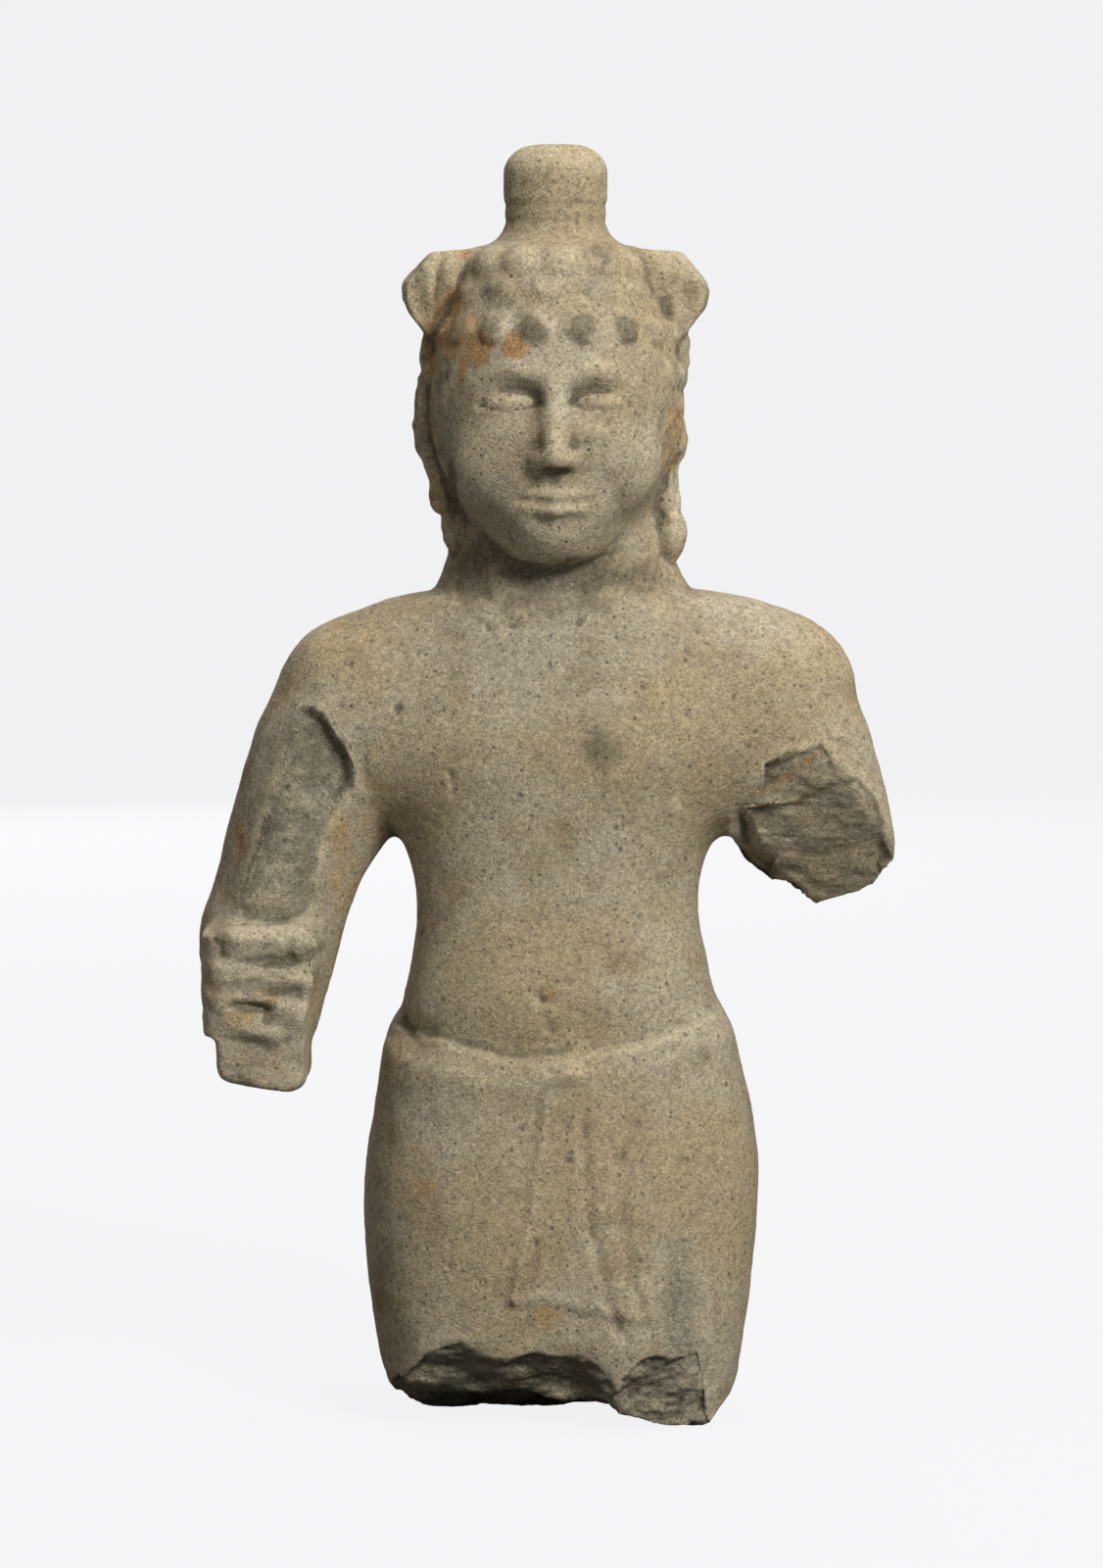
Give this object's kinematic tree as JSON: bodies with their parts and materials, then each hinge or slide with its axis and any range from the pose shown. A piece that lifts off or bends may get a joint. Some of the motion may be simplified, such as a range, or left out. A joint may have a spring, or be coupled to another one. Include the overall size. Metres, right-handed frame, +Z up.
{
  "type": "carved sandstone figure fragment",
  "caption": "Carved sandstone standing figure, broken above the knees, with curled hair, one raised fist and the stump of the other arm, free-standing on its broken underside.",
  "frame": {"origin": "on the ground plane, under the middle of the figure's bounding box", "axes": "+Z up from the broken underside to the topknot, -Y the way the figure faces, +X towards the stump of the left arm"},
  "size_m": [0.2726, 0.1164, 0.4927],
  "materials": {
    "stone": "weathered, grainy, matt"
  },
  "bodies": {
    "root": {"stone_figure": "stone"}
  },
  "joints": []
}
